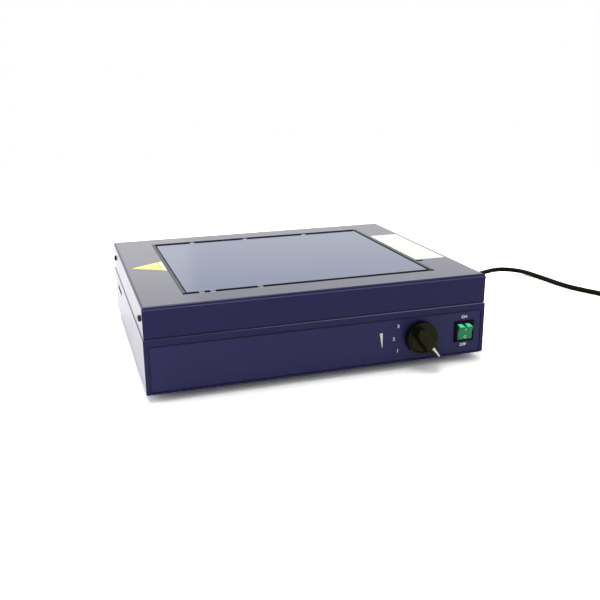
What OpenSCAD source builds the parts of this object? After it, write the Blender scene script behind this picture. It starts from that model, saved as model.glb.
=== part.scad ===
// UV transilluminator: a folded steel bench instrument whose lamps shine up
// through a filter glass. Millimetres, +Z up. The origin is on the bench, under
// the middle of the instrument's outline, control knob and mains inlet included.

/* [Casing] */
// Width of the casing
body_w = 356; // [350:1:400]
// Depth of the casing, front to back
body_d = 286; // [280:1:330]
// Height of the lower chassis, from its floor to the seam
chassis_h = 56; // [56:1:70]
// Height of the top cover above the seam
cover_h = 31; // [29:1:45]
// Thickness of the sheet steel
sheet_t = 1.2; // [0.8:0.1:1.4]
// Outer radius of the long bends
bend_r = 3; // [2:0.5:4]
// Height of the chassis lip that stands inside the cover's skirt
lip_h = 8; // [5:1:9]
// Gap between the cover's skirt and the lip, and between the skirt and its ledge
skirt_gap = 0.4; // [0.2:0.1:0.5]
// How far the chassis stands out beyond the cover, all round
cover_step = 0.8; // [0.4:0.1:1.2]
// Height of the rubber feet
foot_h = 7; // [5:0.5:12]
// Radius of a rubber foot
foot_r = 9; // [8:0.5:12]
// Distance from the casing's sides to the middle of a foot
foot_inset = 32; // [25:1:40]

/* [Filter window] */
// Width of the filter glass
glass_w = 258; // [240:1:262]
// Depth of the filter glass
glass_d = 214; // [200:1:222]
// Thickness of the filter glass
glass_t = 5; // [4:0.5:6]
// How far the glass lies below the top of the cover
glass_sink = 0.5; // [0.3:0.1:1]
// Width of the gasket gap in front of and behind the glass
gasket_w = 5; // [4:0.5:7]
// Gap between the glass and each side rail
glass_gap = 1.1; // [0.5:0.1:2]
// Width of a side rail
rail_w = 3.6; // [2.5:0.1:5]
// Gap between a side rail and the edge of the window
rail_gap = 0.3; // [0.2:0.1:0.5]
// How far the gasket lies below the top of the glass
gasket_sink = 0.8; // [0.2:0.1:1.2]
// Width of the ledge that carries the glass
ledge_w = 10; // [8:0.5:12]
// Width of the flange that holds the filter tray under the cover
tray_flange_w = 8; // [6:1:10]
// Width of a glass spacer
spacer_w = 6; // [4:1:10]

/* [Front controls] */
// Height of the controls' axes above the chassis floor
control_h = 27; // [26:1:30]
// Distance from the casing's right side to the knob's axis
knob_inset = 74.5; // [60:0.5:100]
// Radius of the knob's skirt
knob_r = 17.4; // [14:0.1:18.5]
// Height of the knob's skirt
knob_skirt_h = 8; // [6:0.5:10]
// Reach of the knob in front of the casing
knob_reach = 20; // [17:0.5:24]
// Width of the knob's bar
bar_w = 13; // [10:0.5:15]
// Distance from the knob's axis to the tip of its pointer
pointer_l = 22.8; // [20:0.2:24]
// Angle of the pointer below the horizontal, at its clockwise stop
pointer_angle = 52; // [40:1:60]
// Radius of the control shaft
shaft_r = 3; // [2.5:0.1:3.2]
// Running clearance of the control shaft in its bushing
shaft_fit = 0.05; // [0.02:0.01:0.08]
// Distance from the casing's right side to the middle of the switch
switch_inset = 23.5; // [22:0.5:32]
// Width and height of the switch bezel
bezel_w = 22; // [21.5:0.5:24]
// Thickness of the switch bezel
bezel_t = 2; // [1.5:0.1:2.5]
// Width of the rocker
rocker_w = 16.6; // [14:0.1:16.8]
// Angle between the two resting positions of the rocker
rocker_swing = 20; // [16:1:20]
// Radius of the rocker's pivot
pivot_r = 1.6; // [1.2:0.1:2]
// Running clearance of the rocker's pivot
pivot_fit = 0.05; // [0.02:0.01:0.08]
// Distance from the casing's edges to the front label
label_inset = 3.8; // [3.5:0.1:6]
// Distance from the seam down to the front label
label_drop = 6.8; // [6:0.1:9]
// Depth of the pressed recess for the front label
recess_d = 1; // [0.8:0.1:1.2]
// Thickness of the front label
label_t = 0.5; // [0.3:0.1:0.5]

/* [Lamps] */
// Distance between neighbouring lamps
lamp_pitch = 35; // [34:1:38]
// Radius of a lamp's metal cap
lamp_r = 8; // [7.5:0.5:8]
// Length of a lamp between the faces of its caps
lamp_l = 288; // [280:1:290]
// Height of the lamps' axes above the chassis floor
lamp_h = 59; // [57:1:60]
// Length of a lamp's contact pins
lamp_pin_l = 7; // [6:0.5:8]
// Thickness of a lamp socket
socket_t = 12; // [11:0.5:13]
// Radius of a reflector trough
trough_r = 22; // [21:0.5:26]
// Distance from a lamp's axis down to the bottom of its trough
trough_drop = 18; // [17:0.5:19]
// Thickness of the reflector sheet
reflector_t = 0.8; // [0.6:0.1:1.2]
// Height of a lamp ballast
ballast_h = 26; // [20:1:28]
// Length of a lamp ballast
ballast_l = 190; // [150:5:200]
// Width of a lamp ballast
ballast_w = 34; // [28:1:38]

/* [Mains inlet] */
// Distance from the casing's right side to the middle of the inlet
inlet_inset = 56; // [50:1:90]
// Height of the inlet's middle above the chassis floor
inlet_h = 29; // [28:1:31]
// Width of the inlet flange
inlet_w = 50; // [48:1:54]
// Height of the inlet flange
inlet_flange_h = 36; // [35:1:38]
// Thickness of the inlet flange
inlet_t = 2.5; // [2:0.1:3]
// Distance between the inlet's two screws
inlet_screw_pitch = 40; // [38:0.5:42]
// How far the fuse drawer's finger lip stands out of the flange
drawer_lip = 1.5; // [1:0.1:2.5]

/* [Mains cord] */
// Diameter of the cord
cord_d = 6.5; // [6:0.1:7]
// Length of the moulded strain relief
relief_l = 30; // [20:1:40]

/* [Hidden] */
$fn = 64;
eps = 0.01;
LAMPS = 6;
BALLASTS = 3;

// Outline of the casing. The knob's face stands out in front of it, and the
// fuse drawer's lip behind it, and the origin lies half way between the two.
// A screw has a shank radius, a head radius and a head height.
small_screw = [1.5, 2.8, 1.4];
rear_reach = inlet_t + max(drawer_lip, small_screw[2]);
right_x = body_w / 2;
front_y = (knob_reach - body_d - rear_reach) / 2;
rear_y = front_y + body_d;
mid_y = front_y + body_d / 2;
base_z = foot_h;
floor_z = base_z + sheet_t;
seam_z = base_z + chassis_h;
top_z = seam_z + cover_h;
cover_w = body_w - 2 * cover_step;
cover_d = body_d - 2 * cover_step;
step_w = cover_step + sheet_t + skirt_gap;
fold_r = sheet_t + skirt_gap;

// Filter window, from the glass outwards
rail_x = glass_w / 2 + glass_gap;
window_w = 2 * (rail_x + rail_w + rail_gap);
window_d = glass_d + 2 * gasket_w;
glass_top_z = top_z - glass_sink;
ledge_z = glass_top_z - glass_t;
// Places of the glass spacers, from the window's middle
front_spacers = [-115, -104, -56];
rear_spacers = [-85, -18, 60];

// Fasteners
cover_screw = [1.5, 3.2, 1.9];
foot_screw = [2, 3.6, 2.4];
foot_screw_l = 8;
foot_web = 2;
foot_chamfer = 1.5;
foot_nut = [4, 3];
nut_room = 0.5;
small_nut = [3.2, 2.4];
screw_clear = 0.2;
thread_clear = 0.05;
cover_screw_l = 8;
cover_screw_y = 20;
cover_screw_z = seam_z + cover_h / 2;
press_nut = [3.4, 2.5];
tab_w = 16;
tab_top = 5;

// Stickers on the top, beside the window
triangle_side = 42;
triangle_gap = 0.8;
white_label_size = [38, 131];
white_label_gap = 1.5;
triangle_y = mid_y + 3;
white_label_y = mid_y + 1;
sticker_t = 0.2;
sticker_round = 3;

// Holes in the chassis. A cut of this length passes right through a sheet.
through = 8;
side_slot = [40, 5.5];
side_slot_y = 61;
side_slot_z = 42;
vent = [3, 22];
vent_pitch = 9;
vent_inset = 60;
vent_count = 9;
floor_vent = [4, 30];
floor_vent_pitch = 46;

// Front controls
knob_x = right_x - knob_inset;
switch_x = right_x - switch_inset;
control_z = base_z + control_h;
label_face_y = front_y + recess_d;
panel_y = front_y + recess_d + sheet_t;
panel_in = recess_d + sheet_t;
label_round = 3;
label_gap = 0.7;
knob_gap = 0.4;
knob_recess = [8.5, 3.2];
bushing_r = 5;
bushing_fit = 0.1;
bushing_out = 2.8;
nut_r = 6.5;
nut_h = 2.4;
washer_h = 0.6;
pot_r = 12;
pot_l = 14;
pot_lug = [14, 10, 2];
shaft_tail = 9;
shaft_end_gap = 2;
hub_depth = 13;
hub_fit = 0.02;
index_w = 2;
index_t = 0.3;
index_start = 9;
nose_slope = 35;
nose_l = 2.2;
bar_slope_w = 1.6;
tip_w = 2.6;
bar_end_x = bar_w / 2 + 0.5 - knob_r;
tip_taper = 10.4;
set_screw_r = 1.6;
set_screw_l = 5;
set_screw_h = 5.4;

// Rocker: its corners lie on a circle about the pivot, and its two faces
// meet in a shallow V
rocker_r = 9.8;
rocker_half_angle = 50;
rocker_v = 4.9;
pivot_in = 2;
pocket_h = 17.6;
pocket_d = 8;
pocket_gap = 0.3;
switch_wall = 1.1;
switch_l = 18;
switch_w = rocker_w + 2 * (pocket_gap + switch_wall);
cutout_gap = 0.2;
terminal_size = [0.8, 4.8, 8];
terminal_at = 5;

// Lamps and what carries them
lamp_z = base_z + lamp_h;
lamp_cap_l = 12;
lamp_glass_r = lamp_r - 0.3;
lamp_pin_r = 1.1;
lamp_pin_gap = 4.75;
lamp_gap = 0.3;
lamp_pin_fit = 0.2;
socket_w = 22;
socket_round = 8;
socket_top = 10;
socket_foot = 16;
bracket_x = lamp_l / 2 + lamp_gap + socket_t;
bracket_top = 8;
bracket_foot = 12;
lamp_span = (LAMPS - 1) * lamp_pitch;
trough_z = lamp_z - trough_drop;
reflector_l = lamp_l - 16;
post_r = 3;
post_x = 115;
ballast_pitch = 62;
ballast_ear = 10;
ballast_foot_w = 20;
earth_at = [inlet_inset + 45, 20];
earth_r = 2;
earth_h = 14;

// Mains inlet, with its socket below its fuse drawer
inlet_x = right_x - inlet_inset;
inlet_z = base_z + inlet_h;
inlet_body = [28, 33];
inlet_depth = 26;
socket_size = [24.6, 16.6];
socket_depth = 17;
socket_chamfer = 4;
socket_drop = 7;
flange_round = 4;
drawer_size = [22, 9];
drawer_rise = 10.5;
drawer_depth = 20;
drawer_gap = 0.3;
fuse_r = 2.6;
fuse_l = 20;
fuse_gap = 0.2;
fuse_in = 6;
pin_size = [2, 4];
pin_pitch = 7;
pin_shift = 2;
pin_fit = 0.01;
tail_l = 8;
inlet_screw_l = 8;

// Connector, plug and cord
connector_gap = 0.5;
connector_nose = 16;
grip_size = [27.5, 20];
grip_l = 25;
connector_z = inlet_z - socket_drop;
connector_y = rear_y + inlet_t;
CORD_SIDES = 10;
// The cord's route from its strain relief to its coil, by hand
cord_route = [[122, 209, 29], [122, 219, 29], [125, 231, 28], [133, 242, 26.5],
    [146, 249, 24], [162, 252, 20], [178, 249, 16], [193, 241, 12], [207, 230, 8.5],
    [220, 217, 6], [232, 203, 4], [244, 189, 3.3], [257, 175, 3.3], [271, 162, 3.6],
    [287, 151, 4.6], [305, 144, 6], [324, 142, 7.3], [342, 145, 8], [358, 151, 8],
    [373, 156, 7.8], [388, 157, 7.3], [401, 153, 6.4], [411, 145, 5.6], [418, 134, 4.6],
    [422, 122, 3.8], [425, 108, 3.4], [427, 92, 3.3], [429, 74, 3.3], [433, 56, 3.3],
    [439, 40, 3.3], [446, 25, 3.3], [453, 10, 3.3], [461, -8, 3.3], [469, -25, 3.3]];
// The cord's way from its coil to its plug
plug_route = [[467.5, -21.3, 10.1], [472, -33, 10.4], [476, -44, 11.4], [480, -55, 12],
    [484, -66, 12]];
coil_centre = [510.5, -5.6];
coil_r = 39;
coil_pitch = 6.8;
coil_columns = 3;
coil_layers = 2;
coil_half = ((coil_columns - 1) * coil_pitch + cord_d) / 2;
coil_h = (coil_layers - 1) * coil_pitch + cord_d;
coil_round = 2.5;
tie_angle = 100;
tie_sweep = 16;
tie_t = 1.2;
tie_gap = 0.1;
plug_end = plug_route[len(plug_route) - 1];
plug_way = plug_end - plug_route[len(plug_route) - 2];
plug_turn = atan2(plug_way[1], plug_way[0]);
plug_l = 36;
plug_face = [27, 24];
plug_neck = [17, 16];
plug_flare = 20;
grip_round = 5;
relief_ribs = 5;
rib_gap = 1.6;
blade_size = [1.5, 6.3];
blade_l = 16;
blade_pitch = 12.7;
blade_raise = 4;
ground_r = 2.4;
ground_l = 18;
ground_drop = 8;

// ---- shapes used by several pieces ----

// A rectangle with its own radius on its lower and its upper corners
module rounded(w, h, low, high) {
    difference() {
        translate([-w / 2, 0]) square([w, h]);
        for (s = [-1, 1]) {
            translate([s * w / 2, 0]) corner_waste(low, -s, 1);
            translate([s * w / 2, h]) corner_waste(high, -s, -1);
        }
    }
}

// What a rounded corner of radius r leaves out; sx and sy point inwards
module corner_waste(r, sx, sy) {
    if (r > 0)
        difference() {
            translate([min(0, sx * r) - (sx > 0 ? eps : 0), min(0, sy * r) - (sy > 0 ? eps : 0)])
                square(r + eps);
            translate([sx * r, sy * r]) circle(r);
        }
}

// A block on the plane z = 0, its edges rounded as a folded pan's are
module pan(w, d, h, low, high) {
    intersection() {
        rotate([90, 0, 0]) linear_extrude(d, center = true) rounded(w, h, low, high);
        rotate([90, 0, 90]) linear_extrude(w, center = true) rounded(d, h, low, high);
    }
}

// A box from its middle in X and Y, and its bottom in Z
module block(w, d, h) translate([-w / 2, -d / 2, 0]) cube([w, d, h]);

// A rounded slot of length l along X
module slot(l, w) {
    square([l - w, w], center = true);
    for (s = [-1, 1]) translate([s * (l - w) / 2, 0]) circle(w / 2);
}

// Places whose own +Z points out of the casing and whose +Y points up
module on_front(x, z) translate([x, front_y, z]) rotate([90, 0, 0]) children();
module on_rear(x, z) translate([x, rear_y, z]) rotate([90, 0, 180]) children();
module on_side(s, y, z) translate([s * right_x, y, z]) rotate([90, 0, s * 90]) children();

// A pan-head screw whose head stands on z = 0, with a cross recess
module pan_screw(size, l) {
    difference() {
        union() {
            rotate_extrude() {
                square([size[1], size[2] / 2]);
                square([size[1] * 0.8, size[2]]);
                translate([size[1] * 0.6, size[2] * 0.5]) scale(size[2] * 0.5) circle(1);
            }
            translate([0, 0, -l]) cylinder(r = size[0], h = l + eps);
        }
        for (a = [0, 90]) rotate([0, 0, a])
            translate([0, 0, size[2] * 0.55]) block(size[1] * 1.1, 0.7, size[2]);
    }
}

module hex_nut(r, bore, h) {
    difference() {
        cylinder(r = r, h = h, $fn = 6);
        translate([0, 0, -eps]) cylinder(r = bore, h = h + 2 * eps);
    }
}

module at_feet()
    for (sx = [-1, 1], sy = [-1, 1])
        translate([sx * (right_x - foot_inset), mid_y + sy * (body_d / 2 - foot_inset), 0])
            children();

module at_cover_screws()
    for (s = [-1, 1], y = [front_y + cover_screw_y, rear_y - cover_screw_y])
        on_side(s, y, cover_screw_z) translate([0, 0, -cover_step]) children();

// ---- casing ----

module label_outline(gap = 0) {
    w = body_w - 2 * (label_inset + gap);
    h = chassis_h - label_drop - bend_r - 2 * gap;
    translate([0, base_z + bend_r + gap]) rounded(w, h, label_round, label_round);
}

// The chassis's skin: a pan with a joggled lip inside the cover's skirt
module chassis_shell() {
    difference() {
        union() {
            translate([0, mid_y, base_z]) pan(body_w, body_d, chassis_h, bend_r, fold_r);
            translate([0, mid_y, seam_z - sheet_t])
                block(body_w - 2 * step_w, body_d - 2 * step_w, sheet_t + lip_h);
        }
        translate([0, mid_y, floor_z])
            pan(body_w - 2 * sheet_t, body_d - 2 * sheet_t, chassis_h - 2 * sheet_t,
                bend_r - sheet_t, skirt_gap);
        translate([0, mid_y, seam_z - 2 * sheet_t])
            block(body_w - 2 * (step_w + sheet_t), body_d - 2 * (step_w + sheet_t),
                lip_h + 3 * sheet_t);
    }
}

// Tabs on the lip, each with a pressed-in nut for a cover screw
module cover_tabs() {
    nut_x = step_w - cover_step + sheet_t;
    at_cover_screws() {
        translate([-tab_w / 2, seam_z - cover_screw_z, -nut_x])
            cube([tab_w, cover_h / 2 + tab_top, sheet_t]);
        translate([0, 0, -nut_x - press_nut[1]]) cylinder(r = press_nut[0], h = press_nut[1]);
    }
}

module base_chassis() color([0.19, 0.18, 0.34]) {
    difference() {
        union() {
            chassis_shell();
            cover_tabs();
            translate([0, panel_y, 0]) rotate([90, 0, 0]) linear_extrude(recess_d) label_outline();
        }
        translate([0, front_y + recess_d, 0]) rotate([90, 0, 0])
            linear_extrude(through) label_outline();
        at_cover_screws() translate([0, 0, -cover_screw_l - 1])
            cylinder(r = cover_screw[0] + thread_clear, h = cover_screw_l);
        at_feet() translate([0, 0, floor_z - through / 2])
            cylinder(r = foot_screw[0] + screw_clear, h = through);
        on_front(knob_x, control_z) translate([0, 0, -through / 2])
            cylinder(r = bushing_r + bushing_fit, h = through);
        on_front(switch_x, control_z) translate([0, 0, -through / 2])
            block(switch_w + 2 * cutout_gap, switch_w + 2 * cutout_gap, through);
        on_rear(inlet_x, inlet_z) translate([0, 0, -through / 2]) {
            block(inlet_body[0] + 2 * cutout_gap, inlet_body[1] + 2 * cutout_gap, through);
            for (s = [-1, 1]) translate([s * inlet_screw_pitch / 2, 0, 0])
                cylinder(r = small_screw[0] + screw_clear, h = through);
        }
        for (s = [-1, 1]) on_side(s, rear_y - side_slot_y, base_z + side_slot_z)
            linear_extrude(through, center = true) slot(side_slot[0], side_slot[1]);
        for (i = [0 : vent_count - 1])
            on_rear(-right_x + vent_inset + i * vent_pitch, inlet_z)
                linear_extrude(through, center = true) rotate(90) slot(vent[1], vent[0]);
        for (row = [-0.5, 0.5], i = [-1.5 : 1.5])
            translate([i * floor_vent_pitch, mid_y + row * ballast_pitch, base_z])
                linear_extrude(through, center = true) slot(floor_vent[1], floor_vent[0]);
    }
}

module top_cover() color([0.22, 0.21, 0.38]) {
    skirt_z = seam_z + skirt_gap;
    difference() {
        translate([0, mid_y, skirt_z]) pan(cover_w, cover_d, top_z - skirt_z, 0, bend_r);
        translate([0, mid_y, skirt_z - 1])
            pan(cover_w - 2 * sheet_t, cover_d - 2 * sheet_t, top_z - skirt_z + 1 - sheet_t,
                0, bend_r - sheet_t);
        translate([0, mid_y, top_z - through / 2]) block(window_w, window_d, through);
        at_cover_screws() translate([0, 0, -through / 2])
            cylinder(r = cover_screw[0] + screw_clear, h = through);
    }
}

module cover_screws() color([0.2, 0.2, 0.21])
    at_cover_screws() pan_screw(cover_screw, cover_screw_l);

module rubber_feet() color([0.06, 0.06, 0.06])
    at_feet() rotate_extrude() difference() {
        polygon([[0, 0], [foot_r - foot_chamfer, 0], [foot_r, foot_chamfer],
            [foot_r, foot_h], [0, foot_h]]);
        square([foot_screw[1] + 2 * screw_clear, foot_h - foot_web]);
        square([foot_screw[0] + screw_clear, foot_h + 1]);
    }

module foot_screws() color([0.6, 0.6, 0.62])
    at_feet() translate([0, 0, foot_h - foot_web]) mirror([0, 0, 1])
        pan_screw(foot_screw, foot_screw_l);

module foot_nuts() color([0.6, 0.6, 0.62])
    at_feet() translate([0, 0, floor_z])
        hex_nut(foot_nut[0], foot_screw[0] + thread_clear, foot_nut[1]);

// ---- filter window ----

// A rectangular ring in the window's middle, from its hole outwards
module ring(hole_w, hole_d, border, h) {
    difference() {
        block(hole_w + 2 * border, hole_d + 2 * border, h);
        translate([0, 0, -1]) block(hole_w, hole_d, h + 2);
    }
}

// A folded frame under the window: an outer flange, a wall, and a ledge
module filter_tray() color([0.35, 0.35, 0.37]) translate([0, mid_y, 0]) {
    plate_z = top_z - sheet_t;
    translate([0, 0, plate_z - sheet_t]) ring(window_w, window_d, tray_flange_w, sheet_t);
    translate([0, 0, ledge_z - sheet_t])
        ring(window_w, window_d, sheet_t, plate_z - ledge_z + sheet_t);
    translate([0, 0, ledge_z - sheet_t])
        ring(window_w - 2 * ledge_w, window_d - 2 * ledge_w, ledge_w + sheet_t / 2, sheet_t);
}

module filter_rails() color([0.22, 0.21, 0.38])
    for (s = [-1, 1])
        translate([s * (rail_x + rail_w / 2), mid_y, ledge_z])
            block(rail_w, window_d - 2 * rail_gap, top_z - ledge_z);

module spacer_row(s, places, w, h)
    for (x = places)
        translate([x, mid_y + s * (glass_d + gasket_w) / 2, ledge_z]) block(w, gasket_w, h);

module filter_spacers() color([0.75, 0.75, 0.78]) {
    spacer_row(-1, front_spacers, spacer_w, glass_t - gasket_sink / 2);
    spacer_row(1, rear_spacers, spacer_w, glass_t - gasket_sink / 2);
}

module gasket_strip(s, places) {
    difference() {
        translate([0, mid_y + s * (glass_d + gasket_w) / 2, ledge_z])
            block(2 * rail_x, gasket_w, glass_t - gasket_sink);
        translate([0, 0, -1]) spacer_row(s, places, spacer_w, glass_t + 2);
    }
}

module filter_gasket() color([0.03, 0.03, 0.03]) {
    gasket_strip(-1, front_spacers);
    gasket_strip(1, rear_spacers);
}

module filter_glass() color([0.55, 0.6, 0.7, 0.8])
    translate([0, mid_y, ledge_z]) block(glass_w, glass_d, glass_t);

// ---- labels ----

module hazard_triangle() color([0.95, 0.85, 0.1]) {
    base_x = -window_w / 2 - triangle_gap;
    translate([0, triangle_y, top_z]) linear_extrude(sticker_t)
        polygon([[base_x, -triangle_side / 2], [base_x, triangle_side / 2],
            [base_x - triangle_side * sqrt(3) / 2, 0]]);
}

module white_label() color([0.95, 0.95, 0.94])
    translate([(window_w + white_label_size[0]) / 2 + white_label_gap,
        white_label_y - white_label_size[1] / 2, top_z])
        linear_extrude(sticker_t)
            rounded(white_label_size[0], white_label_size[1], sticker_round, sticker_round);

module front_label() color([0.17, 0.16, 0.32])
    difference() {
        translate([0, label_face_y, 0]) rotate([90, 0, 0])
            linear_extrude(label_t) label_outline(label_gap);
        on_front(knob_x, control_z) translate([0, 0, -through / 2])
            cylinder(r = knob_recess[0], h = through);
        on_front(switch_x, control_z) translate([0, 0, -through / 2])
            block(switch_w + 4 * cutout_gap, switch_w + 4 * cutout_gap, through);
    }

// ---- lamps and gear ----

module lamp(i) color([0.9, 0.9, 0.95]) {
    y = mid_y + (i - (LAMPS + 1) / 2) * lamp_pitch;
    translate([0, y, lamp_z]) rotate([0, 90, 0]) {
        cylinder(r = lamp_glass_r, h = lamp_l - 2 * lamp_cap_l + 2, center = true);
        for (s = [-1, 1]) {
            translate([0, 0, s * (lamp_l - lamp_cap_l) / 2])
                cylinder(r = lamp_r, h = lamp_cap_l, center = true);
            for (p = [-1, 1])
                translate([p * lamp_pin_gap / 2, 0, s * (lamp_l + lamp_pin_l) / 2])
                    cylinder(r = lamp_pin_r, h = lamp_pin_l + eps, center = true);
        }
    }
}

// A row of sockets on the side s, with two contact holes each
module lamp_sockets(s) color([0.92, 0.92, 0.9])
    for (i = [1 : LAMPS])
        translate([s * (lamp_l / 2 + lamp_gap), mid_y + (i - (LAMPS + 1) / 2) * lamp_pitch, lamp_z])
            difference() {
                rotate([90, 0, s * 90]) linear_extrude(socket_t)
                    translate([0, -socket_foot])
                        rounded(socket_w, socket_foot + socket_top, 0, socket_round);
                for (p = [-1, 1])
                    translate([-s, 0, p * lamp_pin_gap / 2]) rotate([0, s * 90, 0])
                        cylinder(r = lamp_pin_r + lamp_pin_fit, h = lamp_pin_l + 2);
            }

// A folded bracket that stands on the floor behind the sockets of the side s
module socket_bracket(s) color([0.8, 0.8, 0.82]) {
    w = lamp_span + socket_w;
    h = lamp_z + bracket_top - floor_z;
    translate([s * (bracket_x + sheet_t / 2), mid_y, floor_z]) block(sheet_t, w, h);
    difference() {
        translate([s * (bracket_x - bracket_foot / 2 + sheet_t / 2), mid_y, floor_z])
            block(bracket_foot + sheet_t, w, sheet_t);
        at_feet() translate([0, 0, floor_z - through / 2])
            cylinder(r = foot_nut[0] + nut_room, h = through);
    }
    translate([s * (bracket_x - socket_t / 2), mid_y, lamp_z - socket_foot - sheet_t])
        block(socket_t + eps, w, sheet_t);
}

module trough_arc(r) translate([0, trough_r]) circle(r, $fn = 96);

// The reflector's section: one shallow trough under each lamp
module reflector_section() {
    for (i = [1 : LAMPS])
        translate([(i - (LAMPS + 1) / 2) * lamp_pitch, 0])
            intersection() {
                difference() {
                    trough_arc(trough_r);
                    trough_arc(trough_r - reflector_t);
                }
                translate([-lamp_pitch / 2 - eps, -1])
                    square([lamp_pitch + 2 * eps, trough_r]);
            }
}

module reflector() color([0.88, 0.89, 0.9])
    translate([0, mid_y, trough_z]) rotate([90, 0, 90])
        linear_extrude(reflector_l, center = true) reflector_section();

module reflector_posts() color([0.75, 0.7, 0.5])
    for (sx = [-1, 1], i = [1, LAMPS])
        translate([sx * post_x, mid_y + (i - (LAMPS + 1) / 2) * lamp_pitch, floor_z])
            cylinder(r = post_r, h = trough_z - floor_z);

function ballast_y(i) = mid_y + (i - (BALLASTS + 1) / 2) * ballast_pitch;

module at_ballast_screws()
    for (i = [1 : BALLASTS], s = [-1, 1])
        translate([s * (ballast_l + ballast_ear) / 2, ballast_y(i), floor_z + sheet_t]) children();

module ballast(i) color([0.85, 0.85, 0.83])
    difference() {
        translate([0, ballast_y(i), floor_z]) {
            pan(ballast_l, ballast_w, ballast_h, 0, 2);
            block(ballast_l + 2 * ballast_ear, ballast_foot_w, sheet_t);
        }
        at_ballast_screws() translate([0, 0, -through / 2])
            cylinder(r = small_screw[0] + screw_clear, h = through);
    }

module ballast_screws() color([0.6, 0.6, 0.62])
    at_ballast_screws() pan_screw(small_screw, sheet_t);

module earth_stud() color([0.8, 0.7, 0.35])
    translate([right_x - earth_at[0], rear_y - earth_at[1], floor_z]) {
        cylinder(r = earth_r, h = earth_h);
        cylinder(r = earth_r * 2.5, h = washer_h);
        translate([0, 0, washer_h]) cylinder(r = foot_nut[0], h = foot_nut[1], $fn = 6);
    }

// ---- brightness control ----

module dimmer_pot() color([0.3, 0.45, 0.35])
    on_front(knob_x, control_z) difference() {
        union() {
            translate([0, 0, -panel_in - pot_l]) cylinder(r = pot_r, h = pot_l);
            translate([0, 0, -panel_in]) cylinder(r = bushing_r, h = panel_in + bushing_out);
            translate([0, -pot_r - pot_lug[1] / 3, -panel_in - pot_l / 2])
                block(pot_lug[0], pot_lug[1], pot_lug[2]);
        }
        translate([0, 0, -shaft_tail - shaft_end_gap])
            cylinder(r = shaft_r + shaft_fit, h = shaft_tail + hub_depth);
    }

module dimmer_washer() color([0.7, 0.7, 0.72])
    on_front(knob_x, control_z) translate([0, 0, -recess_d]) difference() {
        cylinder(r = nut_r + 0.8, h = washer_h);
        translate([0, 0, -through / 2]) cylinder(r = bushing_r + bushing_fit, h = through);
    }

module dimmer_nut() color([0.7, 0.7, 0.72])
    on_front(knob_x, control_z) translate([0, 0, washer_h - recess_d])
        hex_nut(nut_r, bushing_r + thread_clear, nut_h);

module dimmer_shaft() color([0.75, 0.72, 0.6])
    on_front(knob_x, control_z) translate([0, 0, -shaft_tail])
        cylinder(r = shaft_r, h = shaft_tail + hub_depth);

// The knob's bar, with its pointer along +X: a round end, sides that lean in
// towards its face, and a pointed tip
module knob_bar() {
    h = knob_reach - knob_skirt_h + 0.5;
    straight = pointer_l - tip_taper;
    low = bar_w / 2;
    high = bar_w / 2 - bar_slope_w;
    translate([bar_end_x, 0, 0]) cylinder(r1 = low, r2 = high, h = h);
    intersection() {
        translate([bar_end_x, 0, 0]) rotate([90, 0, 90]) linear_extrude(pointer_l - bar_end_x)
            polygon([[-low, 0], [low, 0], [high, h], [-high, h]]);
        linear_extrude(h)
            polygon([[bar_end_x, -low], [straight, -low], [pointer_l, -tip_w / 2],
                [pointer_l, tip_w / 2], [straight, low], [bar_end_x, low]]);
    }
}

module index_groove(h)
    translate([index_start, -index_w / 2, knob_reach - index_t])
        cube([pointer_l - index_start - nose_l, index_w, h]);

module at_pointer() on_front(knob_x, control_z) rotate([0, 0, -pointer_angle]) children();

module knob_set_hole(r, l)
    translate([-shaft_r - l, 0, set_screw_h]) rotate([0, 90, 0]) cylinder(r = r, h = l);

module intensity_knob() color([0.07, 0.07, 0.06])
    at_pointer() difference() {
        union() {
            rotate_extrude() difference() {
                polygon([[0, knob_gap], [knob_r, knob_gap], [knob_r, 2],
                    [knob_r - 0.6, knob_skirt_h - 1], [knob_r - 1.6, knob_skirt_h],
                    [0, knob_skirt_h]]);
                square(knob_recess);
            }
            translate([0, 0, knob_skirt_h - 0.5]) knob_bar();
        }
        translate([0, 0, -1]) cylinder(r = shaft_r + hub_fit, h = hub_depth + 1);
        index_groove(2);
        knob_set_hole(set_screw_r + thread_clear, knob_r);
        translate([pointer_l - nose_l, -bar_w, knob_reach]) rotate([0, nose_slope, 0])
            cube([bar_w, 2 * bar_w, bar_w]);
    }

module knob_index_line() color([0.95, 0.95, 0.92]) at_pointer() index_groove(index_t);

module knob_set_screw() color([0.3, 0.3, 0.3])
    at_pointer() knob_set_hole(set_screw_r, set_screw_l);

// ---- switch ----

module at_switch() on_front(switch_x, control_z) children();

module switch_housing() color([0.05, 0.05, 0.05])
    at_switch() difference() {
        union() {
            translate([0, 0, label_t - recess_d])
                pan(bezel_w, bezel_w, bezel_t + recess_d - label_t, 0, 1);
            translate([0, 0, -switch_l]) block(switch_w, switch_w, switch_l);
        }
        translate([0, 0, -pocket_d])
            block(rocker_w + 2 * pocket_gap, pocket_h, pocket_d + bezel_t + 1);
        translate([0, 0, -pivot_in]) rotate([0, 90, 0])
            cylinder(r = pivot_r + pivot_fit, h = switch_w + 2, center = true);
    }

// The rocker half way between its two positions, about its pivot
module rocker_section() {
    x = rocker_r * cos(rocker_half_angle);
    y = rocker_r * sin(rocker_half_angle);
    polygon([[-2, -5.5], [x - 1, -y + 0.2], [x, -y], [rocker_v, 0], [x, y], [x - 1, y - 0.2],
        [-2, 5.5]]);
}

module switch_rocker() color([0.1, 0.75, 0.35, 0.9])
    at_switch() translate([0, 0, -pivot_in]) rotate([rocker_swing / 2, 0, 0]) {
        rotate([0, -90, 0]) linear_extrude(rocker_w, center = true) rocker_section();
        rotate([0, 90, 0]) cylinder(r = pivot_r, h = switch_w - 2 * pocket_gap, center = true);
    }

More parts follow.
